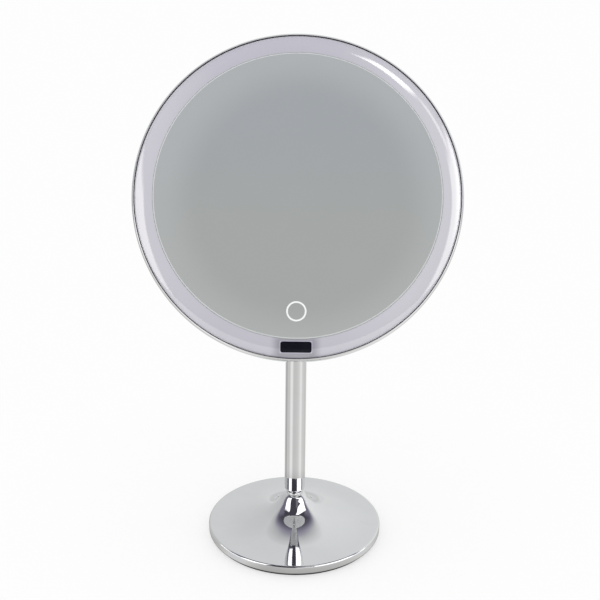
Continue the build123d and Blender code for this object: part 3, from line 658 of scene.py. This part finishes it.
def head_prism(name, outline, centre, heights):
    """A straight prism in the head's frame, between two heights out of the mirror."""
    bm = bmesh.new()
    bottom, top = [
        [bm.verts.new(head_point(centre[0] + x, centre[1] + y, out)) for x, y in outline]
        for out in heights
    ]
    for k in range(len(outline)):
        j = (k + 1) % len(outline)
        bm.faces.new((bottom[k], bottom[j], top[j], top[k]))
    bm.faces.new(bottom[::-1])
    bm.faces.new(top)
    bmesh.ops.recalc_face_normals(bm, faces=bm.faces)
    return mesh_object(name, bm)


# ------------------------------------------------------------------ base and stem
# All profiles are (radius, height) in mm.
BORE_R, WELL_R, HUB_R = 3.1, 7.0, 10.0      # bolt hole, well below it, hub round the well
WELL_Z, UNDER_Z = 8.0, 1.3                  # top of the well, underside of the shell
SKIRT_RI, SKIRT_RO = 64.6, 68.0
PAD_R = 65.3
DOME_Z, DOME_C, DOME_R, DOME_DEG = 35.39, 3.753, 6.5, 55.0  # apex, centre radius, radius, end
DOME = [
    (DOME_C + DOME_R * math.sin(angle), DOME_Z - DOME_R * (1 - math.cos(angle)))
    for angle in np.radians(np.linspace(25.0, DOME_DEG, 16))
]
DOME_DIR = (math.cos(math.radians(DOME_DEG)), -math.sin(math.radians(DOME_DEG)))
SEAT_Z = DOME[0][1]                         # flat top of the base, under the washer
STEM_Z, STEM_TOP = 38.4, 266.3
STEM_RI, STEM_RO = 6.7, 8.0
WASHER_RI, WASHER_RO, COLLAR_R = 3.05, 6.5, 4.7

# outer surface, from the dome out to the edge
FLARE = [
    DOME[-1], (11.3, 29.4), (14.3, 26.0), (17.0, 23.35), (20.3, 20.9), (25.0, 18.3),
    (30.0, 16.15), (36.0, 13.95), (44.0, 11.65), (52.0, 10.25), (60.0, 9.65), (66.4, 9.4),
]
# inner surface, from the hub out to the skirt
CAVITY = [
    (13.0, 22.5), (17.0, 19.6), (20.3, 17.8), (25.0, 15.7), (30.0, 13.7), (36.0, 11.6),
    (44.0, 9.4), (52.0, 8.05), (60.0, 7.5), (SKIRT_RI, 7.3),
]
base_profile = joined(
    [(BORE_R, WELL_Z), (BORE_R, SEAT_Z)],
    DOME,
    spline(FLARE, start_dir=DOME_DIR, end_dir=(1, -0.035), per=12),
    arc3(FLARE[-1], (67.53, 8.93), (SKIRT_RO, 7.8), steps=12),
    arc3((67.9, 4.0), (67.2, 2.25), (65.5, UNDER_Z), steps=10),
    [(SKIRT_RI, UNDER_Z), CAVITY[-1]],
    spline(CAVITY[::-1], per=3),
    [(HUB_R, CAVITY[0][1]), (HUB_R, UNDER_Z), (WELL_R, UNDER_Z), (WELL_R, WELL_Z)],
)
base_shell = stand_in(
    turned("base_shell_polished", base_profile, CHROME, segs=288),
    "base_shell", "base")

pad_profile = joined(
    [(0.0, 0.0)],
    arc3((64.95, 0.0), (65.197, 0.103), (PAD_R, 0.35), steps=6),
    [(PAD_R, UNDER_Z), (0.0, UNDER_Z)],
)
foot_pad = stand_in(
    turned("foot_pad_moulded", pad_profile, RUBBER, segs=192),
    "foot_pad", "base")

# tapered washer with a collar that stops just short of the stem
washer_profile = joined(
    [(WASHER_RI, SEAT_Z), (WASHER_RO, SEAT_Z)],
    arc3((6.15, SEAT_Z + 1.45), (5.99, SEAT_Z + 1.7), (5.7, SEAT_Z + 1.8), steps=8),
    [(COLLAR_R, SEAT_Z + 1.8), (COLLAR_R, STEM_Z - 0.1), (WASHER_RI, STEM_Z - 0.1)],
)
swivel_washer = stand_in(
    turned("swivel_washer_turned", washer_profile, CHROME, segs=128),
    "swivel_washer", "base")

tube_profile = joined(
    arc3((STEM_RO, STEM_Z + 1.2), (7.65, STEM_Z + 0.35), (6.8, STEM_Z), steps=8),
    [(STEM_RI, STEM_Z), (STEM_RI, STEM_TOP), (STEM_RO, STEM_TOP)],
)
stem_tube = stand_in(
    turned("stem_tube_polished", tube_profile, CHROME, segs=192),
    "stem_tube", "stem")

# ------------------------------------------------------------------ polished rim
# Heights are measured out of the mirror face.
RIM_RI, RIM_RO, RIM_FRONT, RIM_BACK, RIM_LIP = 116.05, 117.6, -3.3, -15.0, 0.15
# The crown starts at 30 degrees, so its width is half its radius.
CROWN = 2 * (RIM_RO - RIM_RI - RIM_LIP)
LIP_MID = RIM_LIP * (1 - math.sqrt(0.5))
rim_profile = joined(
    arc3(
        (RIM_RI, RIM_FRONT - RIM_LIP),
        (RIM_RI + LIP_MID, RIM_FRONT - LIP_MID),
        (RIM_RI + RIM_LIP, RIM_FRONT),
        steps=6,
    ),
    [
        (RIM_RO - CROWN * (1 - math.sin(angle)),
         RIM_FRONT - CROWN * (math.cos(math.radians(30)) - math.cos(angle)))
        for angle in np.radians(np.linspace(30.0, 90.0, 21))
    ],
    arc3((RIM_RO, -14.3), (RIM_RO - 0.205, -14.795), (RIM_RO - 0.7, RIM_BACK), steps=6),
    [(RIM_RI, RIM_BACK)],
)
rim_band = stand_in(
    turned("rim_band_polished", rim_profile, CHROME_RIM, segs=384, head=True),
    "rim_band", "head")

# ------------------------------------------------------------------ milky light ring
# Convex front, skirts inside and out, opening for the sensor window.
LENS_RI, LENS_RO, LENS_IN_Z, LENS_OUT_Z, LENS_BACK = 102.55, 115.6, -0.7, -4.6, -11.5
LENS_WALL, SKIRT_OUT, SKIRT_IN = 2.2, 1.7, 1.2      # thicknesses
LENS_RUN, LENS_DROP = LENS_RO - LENS_RI, LENS_IN_Z - LENS_OUT_Z
LENS_ARC_R = (LENS_RUN**2 + LENS_DROP**2) / (2 * LENS_DROP)


def lens_point(radius, inset=0.0):
    """Point of the front arc; its angle is set by the radius, then it is inset."""
    angle = math.asin((radius - LENS_RI) / LENS_ARC_R)
    reach = LENS_ARC_R - inset
    return (LENS_RI + reach * math.sin(angle), LENS_IN_Z - LENS_ARC_R + reach * math.cos(angle))


mid_r = (LENS_RI + LENS_RO) / 2
shoulder = lens_point(LENS_RO - 0.2)
back_out = lens_point(LENS_RO - SKIRT_OUT, LENS_WALL)
back_in = lens_point(LENS_RI + 1.6, LENS_WALL)
lens_profile = joined(
    arc3(lens_point(LENS_RI), lens_point(mid_r), shoulder, steps=36),
    arc3(shoulder, (LENS_RO - 0.03, LENS_OUT_Z - 0.05), (LENS_RO, LENS_OUT_Z - 0.25), steps=5),
    [(LENS_RO, LENS_BACK), (LENS_RO - SKIRT_OUT, LENS_BACK),
     (LENS_RO - SKIRT_OUT, back_out[1])],
    arc3(back_out, lens_point(mid_r, LENS_WALL), back_in, steps=12),
    [(LENS_RI + SKIRT_IN, back_in[1]), (LENS_RI + SKIRT_IN, LENS_BACK), (LENS_RI, LENS_BACK)],
)
lens = turned("light_ring_lens_moulded", lens_profile, LENS, segs=360, head=True)
window_outline = rounded_box(width=21.9, height=7.65, radius=1.55)
cut(lens, head_prism("pocket", window_outline, (0.0, -WINDOW_DOWN), heights=(2.0, -7.0)))
stand_in(lens, "light_ring_lens", "head")


# ------------------------------------------------------------------ studio
def studio_world():
    """What polished parts see: a dark room in front, a grey band round the sides and a
    pale wall behind that reaches further forward low down."""
    # y of the view direction, brightness
    wall = [
        (-0.10, 0.075), (0.04, 0.090), (0.10, 0.115), (0.15, 0.130), (0.20, 0.190),
        (0.25, 0.28), (0.29, 0.38), (0.35, 0.55), (0.42, 0.68), (0.52, 0.80),
    ]
    wall_shift, wall_span = 0.10, 0.62      # bring y of the table to 0..1
    world = bpy.data.worlds.new("studio")
    scene.world = world
    world.use_nodes = True
    world.cycles.sampling_method = "NONE"
    tree = Tree(world.node_tree)
    output = tree.node("ShaderNodeOutputWorld")
    background = tree.node("ShaderNodeBackground")
    tree.put(output.inputs[0], background.outputs[0])
    x, y, z = tree.split(tree.node("ShaderNodeTexCoord").outputs["Generated"])
    aside = tree.size(tree.azimuth(x, y))
    elev = tree.elevation(z)
    low = tree.mul(
        tree.step(elev, over=(62.0, 24.0), to=(0.0, 0.32)), tree.step(aside, over=(70.0, 100.0)))
    back = tree.add(y, low)
    level = tree.ramp(
        tree.calc("DIVIDE", tree.add(back, wall_shift), wall_span),
        [((place + wall_shift) / wall_span, (value,) * 3) for place, value in wall])
    band = tree.mul(
        tree.mul(tree.step(aside, over=(62.0, 76.0)), tree.step(elev, over=(74.0, 44.0))),
        0.215)
    dim = tree.larger(level, band)
    # bright parts are stronger towards +X
    shade = tree.mul_add(x, 0.22, 1.0)
    warmth = tree.step(dim, over=(0.16, 0.66))
    tone = tree.mix(warmth, (0.93, 0.88, 1.14), (0.985, 1.0, 0.998))
    glow = tree.mul_add(tree.sub(shade, 1.0), tree.step(dim, over=(0.45, 0.75)), 1.0)
    colour = tree.tint(tone, tree.mul(dim, glow))
    # soft even light for everything matt, a little stronger from above and the left
    soft = tree.add(tree.mul(z, 0.22), tree.mul_add(x, -0.06, 0.92))
    path = tree.node("ShaderNodeLightPath").outputs
    colour = tree.mix(path["Is Diffuse Ray"], colour, tree.tint((1.0, 1.0, 1.0), soft))
    colour = tree.mix(path["Is Camera Ray"], colour, (0.985, 0.985, 0.985))
    tree.put(background.inputs["Color"], colour)


def studio_floor():
    half = 30.0
    # azimuth, brightness of the floor as the softboxes light it from two sides
    table = [
        (-180, 0.72), (-150, 0.66), (-122, 0.50), (-112, 0.50), (-98, 0.70), (-70, 0.73),
        (-56, 0.95), (-44, 1.10), (-33, 0.92), (-21, 0.715), (0, 0.71), (12, 0.725),
        (34, 0.80), (46, 0.90), (59, 1.04), (72, 0.91), (86, 0.775), (102, 0.77),
        (121, 0.69), (150, 0.74), (180, 0.72),
    ]
    mesh = bpy.data.meshes.new("floor")
    corners = [(-half, -half, 0), (half, -half, 0), (half, half, 0), (-half, half, 0)]
    mesh.from_pydata(corners, [], [(0, 1, 2, 3)])
    add_object("floor", mesh)
    mat, tree, output = new_material("floor")
    point = tree.node("ShaderNodeNewGeometry").outputs["Position"]
    x, y, _ = tree.split(point)
    radius = tree.hypot(x, y)
    azim = tree.azimuth(x, y)
    # seen directly: plain pale floor that fades into the backdrop
    matt = tree.node("ShaderNodeBsdfDiffuse")
    cloud = tree.noise(point, scale=9.0, detail=4.0, rough=0.6)
    tree.put(matt.inputs["Color"], tree.mix(cloud, (0.948, 0.948, 0.946), (0.962, 0.962, 0.96)))
    plain = tree.mix_shader(
        tree.step(radius, over=(0.05, 0.42), to=(0.60, 1.0)),
        matt.outputs[0], tree.emission((0.985, 0.985, 0.985)))
    # seen in polished metal: the softbox table all round
    stops = [((turn + 180) / 360, (v, v * 0.992, v * 0.972)) for turn, v in table]
    bright = tree.ramp(tree.mul_add(azim, 1 / 360, 0.5), stops, kind="CARDINAL")
    # behind the stand it runs from a darker foreground, painted shadow of the stand, up to the
    # tone of the pale wall
    behind = tree.mix(
        tree.step(radius, over=(0.09, 0.32)), (0.620, 0.622, 0.618), (0.768, 0.782, 0.782))
    bright = tree.mix(tree.step(tree.size(azim), over=(128.0, 158.0)), bright, behind)
    # darker where the base keeps the light off
    under = tree.mul(
        tree.step(radius, over=(0.0660, 0.0705), to=(0.10, 1.0)),
        tree.step(radius, over=(0.068, 0.098), to=(0.74, 1.0)))
    lit = tree.emission(tree.vector("SCALE", bright, scale=under))
    bounce = tree.emission((0.88, 0.88, 0.875))
    path = tree.node("ShaderNodeLightPath").outputs
    unseen = tree.mix_shader(path["Is Diffuse Ray"], lit, bounce)
    tree.put(output.inputs["Surface"], tree.mix_shader(path["Is Camera Ray"], unseen, plain))
    mat.cycles.emission_sampling = "NONE"
    mesh.materials.append(mat)


PANEL_CENTRE = (0.0, 0.0, 0.2)


def reflector(name, span, light, receivers, radius):
    """A large studio panel on a sphere round the stand, seen only in the polished faces
    of the receivers. The span is two azimuths and two elevations in degrees."""
    azim0, azim1, elev0, elev1 = span
    columns, rows = max(4, int((azim1 - azim0) / 4)), max(4, int((elev1 - elev0) / 4))
    verts, faces = [], []
    for i in range(rows + 1):
        elev = math.radians(elev0 + (elev1 - elev0) * i / rows)
        for j in range(columns + 1):
            azim = math.radians(azim0 + (azim1 - azim0) * j / columns)
            verts.append((
                PANEL_CENTRE[0] + radius * math.cos(elev) * math.sin(azim),
                PANEL_CENTRE[1] - radius * math.cos(elev) * math.cos(azim),
                PANEL_CENTRE[2] + radius * math.sin(elev)))
    for i in range(rows):
        for j in range(columns):
            k = i * (columns + 1) + j
            faces.append((k, k + 1, k + columns + 2, k + columns + 1))
    mesh = bpy.data.meshes.new(name)
    mesh.from_pydata(verts, [], faces)
    panel = add_object(name, mesh)
    panel.visible_camera = panel.visible_diffuse = panel.visible_shadow = False
    panel.visible_transmission = panel.visible_volume_scatter = False
    mat, tree, output = new_material(name)
    mat.cycles.emission_sampling = "NONE"
    point = tree.node("ShaderNodeNewGeometry").outputs["Position"]
    x, y, z = tree.split(
        tree.vector("NORMALIZE", tree.vector("SUBTRACT", point, PANEL_CENTRE)))
    both = tree.node("ShaderNodeAddShader")
    glow = tree.emission(light(tree, tree.azimuth(x, y), tree.elevation(z)))
    clear = tree.node("ShaderNodeBsdfTransparent").outputs[0]
    tree.fill(both, {0: glow, 1: clear})
    tree.put(output.inputs["Surface"], both.outputs[0])
    mesh.materials.append(mat)
    group = bpy.data.collections.new("lit_by_" + name)
    for piece in receivers:
        group.objects.link(piece)
    panel.light_linking.receiver_collection = group


def patch(tree, azim, elev, box, soft, level):
    """A soft rectangle of light; the box is two azimuths and two elevations."""
    across = tree.band(azim, span=box[:2], soft=soft)
    return tree.mul(tree.mul(across, tree.band(elev, span=box[2:], soft=soft)), level)


def base_panels(tree, azim, elev):
    """Two leaning softboxes, a faint streak between them, and their glow along the bench."""
    # elevation of each softbox's top edge falls away from this azimuth, by this slope
    right_from, right_slope = 30.0, 0.43
    left_from, left_slope = 42.0, 0.33
    panel_level = 1.9
    inner = tree.step(tree.mul_add(elev, 1.4, azim), over=(98.0, 102.0))
    top = tree.mul_add(tree.larger(tree.sub(azim, right_from), 0.0), right_slope, elev)
    right = tree.mul(
        tree.mul(inner, tree.step(top, over=(61.5, 64.5), to=(1.0, 0.0))),
        tree.band(azim, span=(-20.0, 80.5), soft=2.0))
    outer = tree.mul_add(
        tree.larger(tree.sub(tree.mul(azim, -1.0), left_from), 0.0), left_slope, elev)
    left = tree.mul(
        tree.band(azim, span=(-70.0, -35.0), soft=1.5),
        tree.step(outer, over=(52.0, 54.5), to=(1.0, 0.0)))
    foot = patch(tree, azim, elev, box=(27, 80, 11, 33), soft=1.5, level=1.0)
    both = tree.mul(tree.larger(left, right), tree.step(elev, over=(9.0, 13.0)))
    both = tree.mul(tree.larger(both, foot), panel_level)
    streak = patch(tree, azim, elev, box=(13, 33, 30, 52), soft=3.0, level=0.13)
    bench = tree.larger(*(
        patch(tree, azim, elev, box=box, soft=3.0, level=panel_level)
        for box in ((-104, -48, -5, 11), (3, 99, -5, 11))))
    return tree.grey(tree.larger(tree.larger(both, streak), bench))


def stem_panels(tree, azim, elev):
    left = patch(tree, azim, elev, box=(-74, -24, 2, 51), soft=2.0, level=1.9)
    right = patch(tree, azim, elev, box=(26, 98, 2, 54), soft=2.0, level=1.9)
    return tree.grey(tree.larger(left, right))


def head_level(tree, azim, elev):
    """Softboxes left and right, the right one with a hot spot, and two patches above it."""
    spot_azim, spot_elev = 77.0, 20.0
    left = patch(tree, azim, elev, box=(-86, -43, -3, 34), soft=3.0, level=2.15)
    right = tree.mul(
        tree.band(azim, span=(44, 92), soft=4.0), tree.band(elev, span=(-5, 41), soft=4.0))
    near = tree.hypot(tree.sub(azim, spot_azim), tree.sub(elev, spot_elev))
    right = tree.mul(right, tree.step(near, over=(5.0, 26.0), to=(4.1, 2.2)))
    strip = patch(tree, azim, elev, box=(57, 70, 40, 56), soft=3.0, level=1.7)
    top = patch(tree, azim, elev, box=(36, 70, 58, 71.5), soft=2.5, level=4.2)
    return tree.larger(tree.larger(left, right), tree.larger(strip, top))


def head_panels(tree, azim, elev):
    return tree.vector("SCALE", (1.0, 0.99, 0.92), scale=head_level(tree, azim, elev))


def rim_panels(tree, azim, elev):
    """The same softboxes, held to the brightness at which polished metal just turns white."""
    white_level = 1.2
    level = tree.calc("MINIMUM", head_level(tree, azim, elev), white_level)
    return tree.grey(tree.mul(level, tree.band(azim, span=(-82.0, 82.0), soft=3.0)))


def mirror_card(tree, azim, elev):
    """The even grey card that the glass looks at, paler away from the middle."""
    half_azim, mid_elev, half_elev = 6.9, 40.6, 5.3     # the darker oval in the middle
    away = tree.hypot(
        tree.calc("DIVIDE", azim, half_azim),
        tree.calc("DIVIDE", tree.sub(elev, mid_elev), half_elev))
    tone = tree.mix(
        tree.step(elev, over=(38.5, 44.0)), (0.340, 0.351, 0.325), (0.327, 0.345, 0.350))
    edge = tree.mix(
        tree.step(elev, over=(37.0, 43.0)), (0.397, 0.408, 0.387), (0.398, 0.412, 0.410))
    tone = tree.mix(tree.step(away, over=(0.78, 1.13)), tone, edge)
    aside = tree.size(azim)
    tone = tree.mix(tree.step(aside, over=(12.0, 70.0)), tone, (0.60, 0.61, 0.615))
    tone = tree.mix(tree.step(elev, over=(50.0, 85.0), to=(0.0, 0.6)), tone, (0.52, 0.53, 0.54))
    # nothing in front of the pale wall behind the stand
    return tree.mix(tree.step(aside, over=(70.0, 105.0)), tone, (0.0, 0.0, 0.0))


studio_world()
studio_floor()
bpy.context.view_layer.update()
head_pieces = [lens, NODES["sensor_window"], NODES["touch_ring_mark"]]
base_pieces = [base_shell, swivel_washer, foot_pad]
stem_pieces = [stem_tube, NODES["stem_bottom_plug"]]
# name, span, light, receivers, radius
for panel in (
    ("base_lights", (-108, 108, -8, 68), base_panels, base_pieces, 11.6),
    ("stem_lights", (-82, 110, -2, 60), stem_panels, stem_pieces, 11.8),
    ("head_lights", (-100, 105, -12, 76), head_panels, head_pieces, 12.0),
    ("rim_lights", (-100, 105, -12, 76), rim_panels, [rim_band], 12.2),
    ("mirror_backdrop", (-179, 179, -8, 89), mirror_card, [NODES["mirror_glass"]], 12.4),
):
    reflector(*panel)

# ------------------------------------------------------------------ camera
PITCH, ROLL = 0.4089, 0.0119        # radians: looking down, and turned about the view line
CAM_PLACE = (2.45 * MM, -1029.4 * MM, 646.1 * MM)
forward = Vector((0.0, math.cos(PITCH), -math.sin(PITCH)))
level_up = Vector((0.0, math.sin(PITCH), math.cos(PITCH)))
right = ACROSS * math.cos(ROLL) + level_up * math.sin(ROLL)
up = level_up * math.cos(ROLL) - ACROSS * math.sin(ROLL)
cam_data = bpy.data.cameras.new("camera")
cam_data.sensor_fit = "HORIZONTAL"
cam_data.sensor_width = 36.0
cam_data.lens = 90.0
cam_data.clip_start, cam_data.clip_end = 0.01, 100.0
cam = add_object("camera", cam_data)
rows = [(right[i], up[i], -forward[i], CAM_PLACE[i]) for i in range(3)]
cam.matrix_world = Matrix((*rows, (0, 0, 0, 1)))
scene.camera = cam
scene.view_settings.view_transform = "Standard"
scene.view_settings.look = "None"
